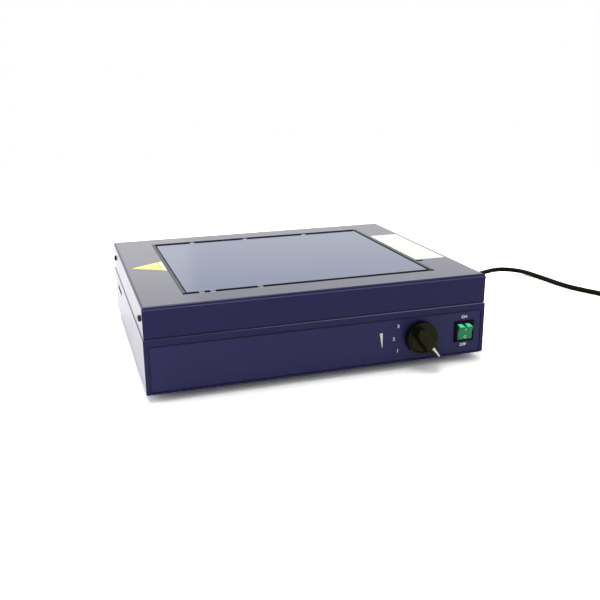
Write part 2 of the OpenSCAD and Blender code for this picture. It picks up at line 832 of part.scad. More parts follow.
module switch_terminals() color([0.8, 0.7, 0.4])
    at_switch() for (sx = [-1, 1], sy = [-1, 1])
        translate([sx * terminal_at, sy * terminal_at, -switch_l - terminal_size[2]])
            block(terminal_size[0], terminal_size[1], terminal_size[2]);

// ---- mains inlet ----

module at_inlet() on_rear(inlet_x, inlet_z) children();

// The socket's outline, with its two lower corners cut off
module socket_outline(gap = 0) {
    w = socket_size[0] / 2 - gap;
    h = socket_size[1] / 2 - gap;
    c = socket_chamfer;
    polygon([[-w + c, -h], [w - c, -h], [w, -h + c], [w, h], [-w, h], [-w, -h + c]]);
}

// The three pins, with the middle one nearer to the cut-off corners
module inlet_pin_outlines(gap = 0)
    for (i = [-1 : 1])
        translate([i * pin_pitch, i == 0 ? -pin_shift : pin_shift])
            square([pin_size[0] + 2 * gap, pin_size[1] + 2 * gap], center = true);

module power_inlet() color([0.06, 0.06, 0.06])
    at_inlet() difference() {
        union() {
            linear_extrude(inlet_t) translate([0, -inlet_flange_h / 2])
                rounded(inlet_w, inlet_flange_h, flange_round, flange_round);
            translate([0, 0, -inlet_depth]) block(inlet_body[0], inlet_body[1], inlet_depth);
        }
        translate([0, -socket_drop, inlet_t - socket_depth])
            linear_extrude(socket_depth + 1) socket_outline();
        translate([0, drawer_rise, inlet_t - drawer_depth - drawer_gap])
            block(drawer_size[0] + 2 * drawer_gap, drawer_size[1] + 2 * drawer_gap,
                drawer_depth + drawer_gap + 1);
        translate([0, -socket_drop, -inlet_depth - 1]) linear_extrude(inlet_depth)
            inlet_pin_outlines(pin_fit);
        for (s = [-1, 1]) translate([s * inlet_screw_pitch / 2, 0, -through / 2])
            cylinder(r = small_screw[0] + screw_clear, h = through);
    }

module inlet_pins() color([0.8, 0.7, 0.4])
    at_inlet() translate([0, -socket_drop, -inlet_depth - tail_l])
        linear_extrude(inlet_depth + tail_l) inlet_pin_outlines();

module inlet_screws() color([0.6, 0.6, 0.62])
    at_inlet() for (s = [-1, 1]) translate([s * inlet_screw_pitch / 2, 0, inlet_t])
        pan_screw(small_screw, inlet_screw_l);

module inlet_nuts() color([0.6, 0.6, 0.62])
    at_inlet() for (s = [-1, 1])
        translate([s * inlet_screw_pitch / 2, 0, -sheet_t - small_nut[1]])
            hex_nut(small_nut[0], small_screw[0] + thread_clear, small_nut[1]);

module fuse_drawer() color([0.07, 0.07, 0.07])
    at_inlet() translate([0, drawer_rise, 0]) difference() {
        union() {
            translate([0, 0, inlet_t - drawer_depth])
                block(drawer_size[0], drawer_size[1], drawer_depth);
            translate([0, drawer_size[1] / 2 - 1.5, inlet_t - eps])
                block(drawer_size[0] * 0.5, 2, drawer_lip + eps);
        }
        translate([-fuse_l / 2 - fuse_gap, -fuse_r - fuse_gap, inlet_t - drawer_depth + fuse_in])
            cube([fuse_l + 2 * fuse_gap, drawer_size[1], 2 * (fuse_r + fuse_gap)]);
    }

module fuse() color([0.85, 0.86, 0.88])
    at_inlet() translate([0, drawer_rise, inlet_t - drawer_depth + fuse_in + fuse_gap + fuse_r])
        rotate([0, 90, 0]) cylinder(r = fuse_r, h = fuse_l, center = true);

// ---- mains cord ----

// A ribbed strain relief that tapers from the grip to the cord, along +Z
module strain_relief() {
    difference() {
        cylinder(r1 = cord_d, r2 = cord_d * 0.72, h = relief_l);
        for (i = [1 : relief_ribs])
            translate([0, 0, relief_l * i / (relief_ribs + 1)]) difference() {
                cylinder(r = cord_d * 2, h = rib_gap, center = true);
                cylinder(r = cord_d * 0.68, h = rib_gap + 1, center = true);
            }
    }
}

module cord_connector() color([0.06, 0.06, 0.06])
    translate([inlet_x, connector_y, connector_z]) rotate([90, 0, 180]) {
        difference() {
            translate([0, 0, connector_gap - connector_nose]) linear_extrude(connector_nose)
                socket_outline(connector_gap);
            translate([0, 0, -inlet_depth]) linear_extrude(inlet_depth)
                inlet_pin_outlines(connector_gap / 2);
        }
        translate([0, 0, connector_gap]) intersection() {
            pan(grip_size[0], grip_size[1], grip_l, 0, grip_round);
            translate([0, -grip_size[1] / 2, 0]) linear_extrude(grip_l)
                rounded(grip_size[0], grip_size[1], grip_round, grip_round);
        }
        translate([0, 0, connector_gap + grip_l - eps]) strain_relief();
    }

function unit(v) = v / norm(v);
function tangent(route, i) =
    unit(route[min(i + 1, len(route) - 1)] - route[max(i - 1, 0)]);

// One ring of the tube about a point p of the route, across its direction t
function tube_ring(p, t, r) =
    let (side = unit(cross(t, [0, 0, 1])), up = cross(side, t))
    [for (k = [0 : CORD_SIDES - 1]) let (a = 360 * k / CORD_SIDES)
        p + r * (cos(a) * side + sin(a) * up)];

module tube(route, r) {
    last = (len(route) - 1) * CORD_SIDES;
    points = [for (i = [0 : len(route) - 1]) each tube_ring(route[i], tangent(route, i), r)];
    sides = [for (i = [0 : len(route) - 2], k = [0 : CORD_SIDES - 1])
        let (a = i * CORD_SIDES + k, b = i * CORD_SIDES + (k + 1) % CORD_SIDES)
        [a, b, b + CORD_SIDES, a + CORD_SIDES]];
    first_cap = [for (k = [CORD_SIDES - 1 : -1 : 0]) k];
    last_cap = [for (k = [0 : CORD_SIDES - 1]) last + k];
    polyhedron(points, concat(sides, [first_cap, last_cap]));
}

module cord() color([0.05, 0.05, 0.05]) {
    tube(cord_route, cord_d / 2);
    tube(plug_route, cord_d / 2);
}

module cord_coil() color([0.05, 0.05, 0.05])
    translate([coil_centre[0], coil_centre[1], 0]) rotate_extrude($fn = 48)
        translate([coil_r, 0]) rounded(2 * coil_half, coil_h, coil_round, coil_round);

// A strap over the coil
module coil_tie() color([0.1, 0.1, 0.1])
    translate([coil_centre[0], coil_centre[1], 0]) rotate([0, 0, tie_angle - tie_sweep / 2])
        rotate_extrude(angle = tie_sweep) translate([coil_r, 0]) difference() {
            rounded(2 * (coil_half + tie_gap + tie_t), coil_h + tie_gap + tie_t, 0, coil_round);
            translate([0, -1])
                rounded(2 * (coil_half + tie_gap), coil_h + tie_gap + 1, 0, coil_round);
        }

// The plug's own +Z runs on from the end of the cord
module at_plug()
    translate(plug_end) rotate([90, 0, 90 + plug_turn]) children();

// A plug body's outline from the side: a narrow neck that widens to its face
module plug_side(neck, face)
    polygon([[-neck / 2, 0], [neck / 2, 0], [face / 2, plug_flare], [face / 2, plug_l],
        [-face / 2, plug_l], [-face / 2, plug_flare]]);

module mains_plug() color([0.06, 0.06, 0.06])
    at_plug() {
        translate([0, 0, relief_l + eps]) mirror([0, 0, 1]) strain_relief();
        translate([0, 0, relief_l]) intersection() {
            rotate([90, 0, 0]) linear_extrude(plug_face[1], center = true)
                plug_side(plug_neck[0], plug_face[0]);
            rotate([90, 0, 90]) linear_extrude(plug_face[0], center = true)
                plug_side(plug_neck[1], plug_face[1]);
            translate([0, -plug_face[1] / 2, 0]) linear_extrude(plug_l)
                rounded(plug_face[0], plug_face[1], grip_round, grip_round);
        }
    }

module plug_blades() color([0.8, 0.7, 0.4])
    at_plug() translate([0, 0, relief_l + plug_l]) {
        for (s = [-1, 1]) translate([s * blade_pitch / 2, blade_raise, 0])
            block(blade_size[0], blade_size[1], blade_l);
        translate([0, -ground_drop, 0]) {
            cylinder(r = ground_r, h = ground_l - ground_r);
            translate([0, 0, ground_l - ground_r]) sphere(ground_r);
        }
    }

base_chassis();
top_cover();
cover_screws();
rubber_feet();
foot_screws();
foot_nuts();
filter_tray();
filter_rails();
filter_gasket();
filter_spacers();
filter_glass();
hazard_triangle();
white_label();
front_label();
lamp(1);  // lamp_1
lamp(2);  // lamp_2
lamp(3);  // lamp_3
lamp(4);  // lamp_4
lamp(5);  // lamp_5
lamp(6);  // lamp_6
lamp_sockets(-1);  // lamp_sockets_left
lamp_sockets(1);  // lamp_sockets_right
socket_bracket(-1);  // socket_bracket_left
socket_bracket(1);  // socket_bracket_right
reflector();
reflector_posts();
ballast(1);  // ballast_1
ballast(2);  // ballast_2
ballast(3);  // ballast_3
ballast_screws();
dimmer_pot();
dimmer_washer();
dimmer_nut();
dimmer_shaft();
intensity_knob();
knob_index_line();
knob_set_screw();
switch_housing();
switch_rocker();
switch_terminals();
power_inlet();
inlet_pins();
inlet_screws();
inlet_nuts();
fuse_drawer();
fuse();
earth_stud();
cord_connector();
cord();
cord_coil();
coil_tie();
mains_plug();
plug_blades();
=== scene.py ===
import math

import bmesh
import bpy
from mathutils import Matrix, Vector


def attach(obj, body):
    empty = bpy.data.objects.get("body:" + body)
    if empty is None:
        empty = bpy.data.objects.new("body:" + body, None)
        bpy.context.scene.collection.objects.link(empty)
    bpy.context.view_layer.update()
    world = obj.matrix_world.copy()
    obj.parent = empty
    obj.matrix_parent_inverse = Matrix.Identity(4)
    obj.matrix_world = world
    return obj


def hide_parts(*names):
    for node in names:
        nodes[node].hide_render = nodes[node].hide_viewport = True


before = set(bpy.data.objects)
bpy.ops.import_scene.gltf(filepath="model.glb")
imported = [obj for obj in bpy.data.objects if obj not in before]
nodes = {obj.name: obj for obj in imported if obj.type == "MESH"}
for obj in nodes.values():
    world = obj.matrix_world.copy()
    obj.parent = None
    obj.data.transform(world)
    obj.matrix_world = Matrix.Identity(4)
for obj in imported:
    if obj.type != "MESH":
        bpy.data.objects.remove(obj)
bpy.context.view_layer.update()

# ---- Camera ----
# A camera on a stand, left of the casing and a little above it.
# It looks down on the filter window and along the front panel.
stand = Vector((-0.242146, -0.799326, 0.302249))
yaw, pitch, roll = -17.979, 17.157, -0.43
bpy.ops.object.camera_add(location=stand)
camera = bpy.context.object
camera.data.sensor_width = 36
camera.data.lens = 45.559
camera.data.clip_end = 100
camera.matrix_world = (
    Matrix.Translation(stand)
    @ Matrix.Rotation(math.radians(yaw), 4, "Z")
    @ Matrix.Rotation(math.radians(90 - pitch), 4, "X")
    @ Matrix.Rotation(math.radians(roll), 4, "Z")
)
bpy.context.scene.camera = camera
bpy.context.scene.view_settings.view_transform = "Standard"


# ---- Bench and studio light ----
# A white bench top that runs on into a white room. Soft light comes from above,
# from two panels behind the casing and one on its left, and from a lit card
# that lies on the bench there.
class Wire:
    """A socket of a node tree. The signs + - * on it add Math nodes."""

    def __init__(self, tree, socket=None):
        self.tree = tree
        self.socket = socket

    def node(self, kind, settings=None, sockets=None, output=0):
        made = self.tree.nodes.new("ShaderNode" + kind)
        for name, value in (settings or {}).items():
            setattr(made, name, value)
        for name, value in (sockets or {}).items():
            if isinstance(value, Wire):
                self.tree.links.new(value.socket, made.inputs[name])
            else:
                made.inputs[name].default_value = value
        return Wire(self.tree, made.outputs[output] if len(made.outputs) else None)

    def maths(self, operation, *values):
        return self.node("Math", {"operation": operation}, dict(enumerate(values)))

    def __add__(self, other):
        return self.maths("ADD", self, other)

    def __sub__(self, other):
        return self.maths("SUBTRACT", self, other)

    def __rsub__(self, other):
        return self.maths("SUBTRACT", other, self)

    def __mul__(self, other):
        return self.maths("MULTIPLY", self, other)

    __radd__, __rmul__ = __add__, __mul__

    def colours(self, first, second):
        """The first colour where this is 0, and the second where it is 1."""
        ends = [c if isinstance(c, Wire) else (*c, 1) for c in (first, second)]
        return self.node(
            "Mix", {"data_type": "RGBA"}, {0: self, 6: ends[0], 7: ends[1]}, 2
        )

    def between(self, low, high):
        """1 where this is from low to high, with a short ramp, and 0 elsewhere."""
        soft = 0.00008
        up = self.node("MapRange", None, {0: self, 1: low - soft, 2: low + soft})
        down = self.node("MapRange", None, {0: self, 1: high - soft, 2: high + soft})
        return up * (1 - down)


room = bpy.data.worlds.new("white_room")
bpy.context.scene.world = room
room.use_nodes = True
room.node_tree.nodes.clear()
air = Wire(room.node_tree)
ray = {
    name: air.node("LightPath", output=f"Is {name} Ray")
    for name in ("Camera", "Glossy", "Transmission")
}
shown = air.maths("MAXIMUM", ray["Glossy"], ray["Transmission"])
shown = air.maths("MAXIMUM", ray["Camera"], shown)
glow = air.node("Background", None, {"Color": (1, 1, 1, 1), "Strength": 0.5 + 0.5 * shown})
air.node("OutputWorld", None, {"Surface": glow})

# Each light's name, place, aim, size, level, and share of blue
for name, place, aim, size, level, blue in (
    ("overhead_light", (-0.2, 0.2, 1.6), (0, 0, 0), (1.0, 1.0), 4.4, 1.0),
    ("back_panel", (0.8, 2.5, 1.05), (0.1, 0, 0.3), (2.8, 1.3), 0.56, 0.80),
    ("back_left_panel", (-0.1, 2.6, 1.1), (0, 0, 0.3), (0.9, 0.9), 0.4, 0.9),
    ("left_panel", (-2.0, 0.8, 0.8), (0, 0, 0.1), (1.2, 1.2), 1.5, 1.0),
    ("left_card", (-0.615, 0.4, 0.002), (-0.615, 0.4, 1), (0.87, 1.3), 0.72, 1.0),
):
    bpy.ops.object.light_add(type="AREA", location=place)
    lamp = bpy.context.object
    lamp.name = name
    lamp.data.shape = "RECTANGLE"
    lamp.data.size, lamp.data.size_y = size
    lamp.data.energy = level * math.pi * size[0] * size[1]
    lamp.data.color = (1, 1, blue)
    lamp.rotation_euler = (Vector(aim) - Vector(place)).to_track_quat("-Z", "Y").to_euler()
    lamp.visible_camera = False

bpy.ops.mesh.primitive_plane_add(size=60)
bench = bpy.context.object
bench.name = "bench_top"
bench_finish = bpy.data.materials.new("bench_white")
bench_finish.use_nodes = True
bench_finish.node_tree.nodes.clear()
flat = Wire(bench_finish.node_tree)
spot = flat.node("TexCoord", output="Object")
far = flat.node("VectorMath", {"operation": "LENGTH"}, {0: spot}, "Value")
fade_start, fade_end = 0.9, 1.8
far = flat.node("MapRange", None, {0: far, 1: fade_start, 2: fade_end})
seen = flat.node("LightPath", output="Is Camera Ray")
glossy = flat.node("LightPath", output="Is Glossy Ray")
bench_lit, bench_seen = (0.88, 0.88, 0.87), (2.2, 2.2, 2.14)
lit = flat.node("BsdfDiffuse", None, {"Color": seen.colours(bench_lit, bench_seen)})
white = flat.node("Emission", None, {"Color": (1, 1, 1, 1), "Strength": 1.0})
mirrored = flat.maths("MAXIMUM", seen, glossy)
both = flat.node("MixShader", None, {0: far * mirrored, 1: lit, 2: white})
flat.node("OutputMaterial", None, {"Surface": both})
bench.data.materials.append(bench_finish)


# ---- Mains cord ----
# A round black three-core lead, 1.8 m long. It leaves the connector straight,
# drops to the bench, and its spare length is wound up beside the casing in a
# coil of five turns in two layers, with a strap round it.
def finish(name):
    """A new material, and a Wire on its empty node tree."""
    made = bpy.data.materials.new(name)
    made.use_nodes = True
    made.node_tree.nodes.clear()
    return made, Wire(made.node_tree)


def grain(wire, scale, detail=3.0):
    """Cloudy noise from 0 to 1 that is fixed in the piece."""
    place = wire.node("TexCoord", output="Object")
    return wire.node("TexNoise", None, {"Vector": place, "Scale": scale, "Detail": detail})


def along(wire, axis):
    """The place on the piece along X, Y or Z, in metres."""
    place = wire.node("TexCoord", output="Object")
    return wire.node("SeparateXYZ", None, {0: place}, axis)


def relief(wire, height, depth):
    """A normal that follows a height from 0 to 1 of that depth in metres."""
    bump = {"Height": height, "Distance": depth, "Strength": 1.0}
    return wire.node("Bump", None, bump, "Normal")


def skin(wire, **sockets):
    """The surface, with each socket's name written with _ for its spaces."""
    named = {name.replace("_", " "): value for name, value in sockets.items()}
    named = {"Specular IOR Level" if k == "Specular" else k: v for k, v in named.items()}
    for key, value in named.items():
        if isinstance(value, tuple) and len(value) == 3:
            named[key] = (*value, 1)
    body = wire.node("BsdfPrincipled", None, named)
    wire.node("OutputMaterial", None, {"Surface": body})


cord_d = 0.0065
route = [
    (0.122, 0.209, 0.029), (0.122, 0.219, 0.029), (0.125, 0.231, 0.028),
    (0.133, 0.242, 0.0265), (0.146, 0.249, 0.024), (0.162, 0.252, 0.020),
    (0.178, 0.249, 0.016), (0.193, 0.241, 0.012), (0.207, 0.230, 0.0085),
    (0.220, 0.217, 0.006), (0.232, 0.203, 0.004), (0.244, 0.189, 0.0033),
    (0.257, 0.175, 0.0033), (0.271, 0.162, 0.0036), (0.287, 0.151, 0.0046),
    (0.305, 0.144, 0.006), (0.324, 0.142, 0.0073), (0.342, 0.145, 0.008),
    (0.358, 0.151, 0.008), (0.373, 0.156, 0.0078), (0.388, 0.157, 0.0073),
    (0.401, 0.153, 0.0064), (0.411, 0.145, 0.0056), (0.418, 0.134, 0.0046),
    (0.422, 0.122, 0.0038), (0.425, 0.108, 0.0034), (0.427, 0.092, 0.0033),
    (0.429, 0.074, 0.0033), (0.433, 0.056, 0.0033), (0.439, 0.040, 0.0033),
    (0.446, 0.025, 0.0033), (0.453, 0.010, 0.0033), (0.461, -0.008, 0.0033),
]
coil_middle = Vector((0.5105, -0.0056, 0))
coil_r, coil_pitch, coil_start = 0.039, 0.0068, 205


def eased(angle, low, high):
    """From 0 at the low angle to 1 at the high one, without a corner."""
    share = min(1, max(0, (angle - low) / (high - low)))
    return share * share * (3 - 2 * share)


# Five turns with a point every 24 degrees: three rings inwards, a step up to the
# second layer, and three rings outwards
for turned in range(0, 1796, 24):
    inwards = eased(turned, 250, 360) + eased(turned, 610, 720)
    outwards = eased(turned, 1210, 1320) + eased(turned, 1570, 1680)
    reach = coil_r + coil_pitch * (1 - inwards + outwards)
    rise = cord_d / 2 + coil_pitch * eased(turned, 900, 1020)
    way = math.radians(coil_start + turned)
    ring = Vector((reach * math.cos(way), reach * math.sin(way), rise))
    route.append(coil_middle + ring)
route += [
    (0.472, -0.033, 0.0104), (0.476, -0.044, 0.0114),
    (0.480, -0.055, 0.012), (0.484, -0.066, 0.012),
]

lead = bpy.data.curves.new("mains_cord", "CURVE")
lead.dimensions = "3D"
lead.bevel_depth = cord_d / 2
lead.bevel_resolution = 5
lead.resolution_u = 5
lead.use_fill_caps = True
spline = lead.splines.new("BEZIER")
spline.bezier_points.add(len(route) - 1)
for point, place in zip(spline.bezier_points, route):
    point.co = place
    point.handle_left_type = point.handle_right_type = "AUTO"
cord = bpy.data.objects.new("mains_cord", lead)
bpy.context.scene.collection.objects.link(cord)

jacket, wire = finish("black_jacket")
skin(
    wire,
    Base_Color=grain(wire, 60).colours((0.0050, 0.0050, 0.0025), (0.0090, 0.0090, 0.0050)),
    Roughness=0.40 + 0.14 * grain(wire, 35),
    Specular=0.05,
    Specular_Tint=(1.0, 1.0, 0.6),
    Normal=relief(wire, grain(wire, 900), 0.00004),
)
lead.materials.append(jacket)
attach(cord, "instrument")
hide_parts("cord", "cord_coil")


# ---- Connector, plug and strap ----
# Black vinyl is moulded round both ends of the lead, with a ribbed strain
# relief at each. The strap is a woven band that closes on itself.
def dress(material, *names):
    """Gives nodes of the frame a finish."""
    for name in names:
        nodes[name].data.materials.clear()
        nodes[name].data.materials.append(material)


vinyl, wire = finish("moulded_vinyl")
skin(
    wire,
    Base_Color=grain(wire, 80).colours((0.006, 0.006, 0.006), (0.012, 0.012, 0.011)),
    Roughness=0.42 + 0.16 * grain(wire, 50),
    Specular=0.2,
    Normal=relief(wire, grain(wire, 1400), 0.00006),
)
dress(vinyl, "cord_connector", "mains_plug")

brass, wire = finish("turned_brass")
skin(
    wire,
    Base_Color=grain(wire, 120).colours((0.62, 0.44, 0.18), (0.75, 0.56, 0.27)),
    Metallic=1.0,
    Roughness=0.24 + 0.16 * grain(wire, 300),
    Normal=relief(wire, grain(wire, 2500), 0.00001),
)
dress(brass, "plug_blades", "inlet_pins", "switch_terminals", "earth_stud", "reflector_posts")

strap, wire = finish("woven_strap")
place = wire.node("TexCoord", output="Object")
threads = {"Vector": place, "Scale": 900.0, "Distortion": 1.5}
weave = wire.node("TexWave", {"bands_direction": "DIAGONAL"}, threads)
skin(
    wire,
    Base_Color=weave.colours((0.006, 0.006, 0.006), (0.03, 0.03, 0.03)),
    Roughness=0.85,
    Normal=relief(wire, weave, 0.0002),
)
dress(strap, "coil_tie")


# ---- Casing ----
# A lower chassis and a top cover, both folded from steel sheet and sprayed
# navy blue all over. Black screws hold the cover, and the casing stands on
# four rubber feet that are screwed to its floor.
paint, wire = finish("navy_paint")
height = along(wire, "Z")
# The painted highlight on the ledge's edge is brighter towards the right of the casing
ledge_shine = wire.node("MapRange", None, {0: along(wire, "X"), 1: -0.16, 2: 0.06, 3: 0.12, 4: 1.0})
navy = grain(wire, 7).colours((0.0140, 0.0125, 0.088), (0.0162, 0.0145, 0.098))
# Painted light in thin bands: a painted highlight on the ledge's edge, painted shade in the
# gap under the cover, and a painted highlight and a painted shade line at the fold at its top
for low, high, colour in (
    (0.0622, 0.0630, ledge_shine.colours((0.020, 0.018, 0.110), (0.170, 0.160, 0.330))),
    (0.0634, 0.0645, (0.002, 0.002, 0.030)),
    (0.0908, 0.0919, (0.085, 0.078, 0.210)),
    (0.0921, 0.0932, (0.004, 0.003, 0.045)),
):
    navy = height.between(low, high).colours(navy, colour)
skin(
    wire,
    Base_Color=navy,
    Roughness=0.15 + 0.05 * grain(wire, 40),
    Specular=0.27,
    Normal=relief(wire, grain(wire, 420, 2.0), 0.000005),
)
dress(paint, "base_chassis", "top_cover")

blacked, wire = finish("blackened_steel")
skin(
    wire,
    Base_Color=grain(wire, 200).colours((0.02, 0.02, 0.02), (0.05, 0.05, 0.05)),
    Metallic=0.7,
    Roughness=0.35 + 0.2 * grain(wire, 500),
)
dress(blacked, "cover_screws", "knob_set_screw")

plated, wire = finish("plated_steel")
skin(
    wire,
    Base_Color=grain(wire, 60).colours((0.50, 0.50, 0.51), (0.62, 0.62, 0.64)),
    Metallic=1.0,
    Roughness=0.26 + 0.2 * grain(wire, 250),
    Normal=relief(wire, grain(wire, 1500), 0.00001),
)
dress(
    plated, "foot_screws", "foot_nuts", "socket_bracket_left", "socket_bracket_right",
    "ballast_screws", "dimmer_washer", "dimmer_nut", "inlet_screws", "inlet_nuts",
)

rubber, wire = finish("black_rubber")
skin(
    wire,
    Base_Color=grain(wire, 150).colours((0.012, 0.012, 0.012), (0.026, 0.026, 0.026)),
    Roughness=0.75 + 0.15 * grain(wire, 90),
    Normal=relief(wire, grain(wire, 1800), 0.00005),
)
dress(rubber, "rubber_feet")


# ---- Filter window ----
# A plate of deep blue-violet filter glass lies in a tray under the cover,
# between satin steel rails, and on black rubber with small metal spacers in it.
def alone(piece):
    """Makes a piece the active one, and the only one selected."""
    bpy.ops.object.select_all(action="DESELECT")
    piece.select_set(True)
    bpy.context.view_layer.objects.active = piece


def settled():
    """The new piece, with its object at the origin and its place in its mesh."""
    bpy.ops.object.transform_apply(location=True, rotation=True, scale=True)
    return bpy.context.object


def block(place, size, tilt=0.0):
    """A block with its middle at a place, tilted about X."""
    bpy.ops.object.select_all(action="DESELECT")
    bpy.ops.mesh.primitive_cube_add(
        size=1, location=place, rotation=(tilt, 0, 0), scale=size
    )
    return settled()


def joined(first, *others):
    """The first piece, with the others made part of it."""
    alone(first)
    for other in others:
        other.select_set(True)
    bpy.ops.object.join()
    return first


rail, wire = finish("satin_rail")
across = along(wire, "X")
steel = grain(wire, 90).colours((0.150, 0.155, 0.153), (0.190, 0.195, 0.195))
# Painted shade: thin dark lines along the gaps at the rails' edges
for low, high in (
    (-0.1338, -0.1333), (-0.1318, -0.1311), (-0.1306, -0.1300),
    (0.1300, 0.1316), (0.1334, 0.1338),
):
    steel = across.between(low, high).colours(steel, (0.004, 0.004, 0.004))
skin(wire, Base_Color=steel, Roughness=0.5 + 0.1 * grain(wire, 70), Specular=0.12)
dress(rail, "filter_rails")

foam, wire = finish("black_foam")
skin(
    wire,
    Base_Color=grain(wire, 700).colours((0.003, 0.003, 0.003), (0.010, 0.010, 0.010)),
    Roughness=0.9 + 0.1 * grain(wire, 400),
    Specular=0.05,
    Normal=relief(wire, grain(wire, 1500), 0.0001),
)
seal_top = 0.0941
front_ends = (-0.1300, -0.118, -0.112, -0.107, -0.101, -0.059, -0.053, 0.1300)
back_ends = (-0.1300, -0.088, -0.082, -0.021, -0.015, 0.057, 0.063, 0.1300)
corner_ends = (-0.1339, -0.1300, 0.1300, 0.1339)
strips = []
# The strips stop at the spacers, and thin ones lie across the rails' ends
for near, far, bottom, ends in (
    (-0.1038, -0.0978, 0.0935, front_ends),
    (0.1142, 0.1198, 0.0935, back_ends),
    (-0.1038, -0.0995, 0.0940, corner_ends),
):
    for low, high in zip(ends[::2], ends[1::2]):
        strips.append(block(
            ((low + high) / 2, (near + far) / 2, (bottom + seal_top) / 2),
            (high - low, far - near, seal_top - bottom),
        ))
seal = joined(strips[-1], *strips[:-1])
seal.name = "window_seal"
seal.data.materials.append(foam)
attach(seal, "instrument")
dress(foam, "filter_gasket")

matt, wire = finish("matt_black_tray")
skin(
    wire,
    Base_Color=grain(wire, 60).colours((0.006, 0.006, 0.006), (0.012, 0.012, 0.012)),
    Roughness=0.7 + 0.2 * grain(wire, 200),
    Specular=0.1,
)
dress(matt, "filter_tray")

glass, wire = finish("filter_glass")
skin(
    wire,
    Base_Color=grain(wire, 5).colours((0.055, 0.083, 0.220), (0.067, 0.097, 0.244)),
    Roughness=0.13 + 0.04 * grain(wire, 12),
    Specular=0.2,
)
dress(glass, "filter_glass")

spacer_metal, wire = finish("spacer_aluminium")
skin(
    wire,
    Base_Color=grain(wire, 300).colours((0.42, 0.42, 0.46), (0.55, 0.55, 0.60)),
    Metallic=0.8,
    Roughness=0.4 + 0.2 * grain(wire, 600),
)
dress(spacer_metal, "filter_spacers", "dimmer_shaft", "reflector")


# ---- Stickers ----
# A yellow triangle with a rounded tip and a blank white label, both vinyl film,
# stuck on the cover on either side of the window. Neither carries any words.
def prism(sides, radius, thickness, place, turn=0.0):
    """An upright prism with its middle at a place, turned about Z."""
    bpy.ops.object.select_all(action="DESELECT")
    bpy.ops.mesh.primitive_cylinder_add(
        vertices=sides, radius=radius, depth=thickness, location=place, rotation=(0, 0, turn)
    )
    return settled()


def pick(kind, test):
    """In edit mode, selects only the faces, edges or verts that pass a test."""
    mode = {"faces": "FACE", "edges": "EDGE", "verts": "VERT"}[kind]
    bpy.ops.mesh.select_mode(type=mode)
    bpy.ops.mesh.select_all(action="DESELECT")
    shape = bmesh.from_edit_mesh(bpy.context.object.data)
    for part in getattr(shape, kind):
        if test(part):
            part.select_set(True)
    bmesh.update_edit_mesh(bpy.context.object.data)


def middle(part):
    """The middle of a face or an edge."""
    return sum((v.co for v in part.verts), Vector()) / len(part.verts)


yellow, wire = finish("yellow_sticker")
across = along(wire, "X")
strip = across.between(-0.1378, -0.1300)
rule = across.between(-0.1402, -0.1396)
ink = rule.colours((0.93, 0.87, 0.20), (0.35, 0.33, 0.12))
skin(
    wire,
    Base_Color=strip.colours(ink, (0.95, 0.95, 0.88)),
    Roughness=0.35 + 0.1 * grain(wire, 200),
)
corner_r, film_t, tip_cut = 0.02425, 0.0002, 0.0045
triangle = prism(3, corner_r, film_t, (-0.14692, 0.011, 0.0941), math.pi / 2)
bpy.ops.object.mode_set(mode="EDIT")
pick("edges", lambda edge: middle(edge).x < -0.17)
bpy.ops.mesh.bevel(offset=tip_cut, segments=8)
bpy.ops.object.mode_set(mode="OBJECT")
triangle.name = "triangle_sticker"
triangle.data.materials.append(yellow)
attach(triangle, "instrument")
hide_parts("hazard_triangle")

paper, wire = finish("white_sticker")
edge = along(wire, "X").between(0.1711, 0.1736)
blank = grain(wire, 30).colours((0.86, 0.86, 0.83), (0.90, 0.90, 0.87))
skin(
    wire,
    Base_Color=edge.colours(blank, (0.22, 0.22, 0.22)),
    Roughness=0.35 + 0.1 * grain(wire, 200),
)
dress(paper, "white_label")


# ---- Hole plug ----
# A low round cap of black nylon, pushed into a hole of the cover at the corner
# of the white label.
nylon, wire = finish("black_nylon")
skin(
    wire,
    Base_Color=grain(wire, 300).colours((0.004, 0.004, 0.004), (0.009, 0.009, 0.009)),
    Roughness=0.5 + 0.2 * grain(wire, 200),
    Specular=0.1,
)
plug_x, plug_y, plug_r, plug_t = 0.1385, -0.0588, 0.0041, 0.0007
plug = prism(48, plug_r, plug_t, (plug_x, plug_y, 0.09383))
bpy.ops.object.mode_set(mode="EDIT")
pick("faces", lambda face: face.normal.z > 0.9)
bpy.ops.transform.resize(value=(0.96, 0.96, 1), center_override=(plug_x, plug_y, 0.0942))
bpy.ops.object.mode_set(mode="OBJECT")
plug.name = "hole_plug"
plug.data.materials.append(nylon)
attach(plug, "instrument")


# ---- Front label ----
# A thin polycarbonate film, printed navy on its back, stuck in the recess of
# the front panel. Its words are printed in white.
film, wire = finish("label_film")
# Painted shade: the film is darker along its top and left edges, where the groove round the
# recess lies in shadow
top_edge = along(wire, "Z").between(0.0545, 0.0600)
left_edge = along(wire, "X").between(-0.1800, -0.1725)
rim = top_edge.maths("MAXIMUM", top_edge, left_edge)
print_navy = grain(wire, 6).colours((0.0205, 0.0195, 0.103), (0.0235, 0.0215, 0.115))
skin(
    wire,
    Base_Color=rim.colours(print_navy, (0.002, 0.002, 0.030)),
    Roughness=0.30 + 0.06 * grain(wire, 60),
    Specular=0.3,
    Normal=relief(wire, grain(wire, 1500, 2.0), 0.00001),
)
dress(film, "front_label")

print_white, wire = finish("printed_white")
skin(
    wire,
    Base_Color=grain(wire, 400).colours((0.93, 0.93, 0.92), (0.98, 0.98, 0.97)),
    Roughness=0.4,
)
film_y, ink_half = -0.1345, 0.00002
switch_x, control_z = 0.1545, 0.034
capital_share = 0.72
printed = []
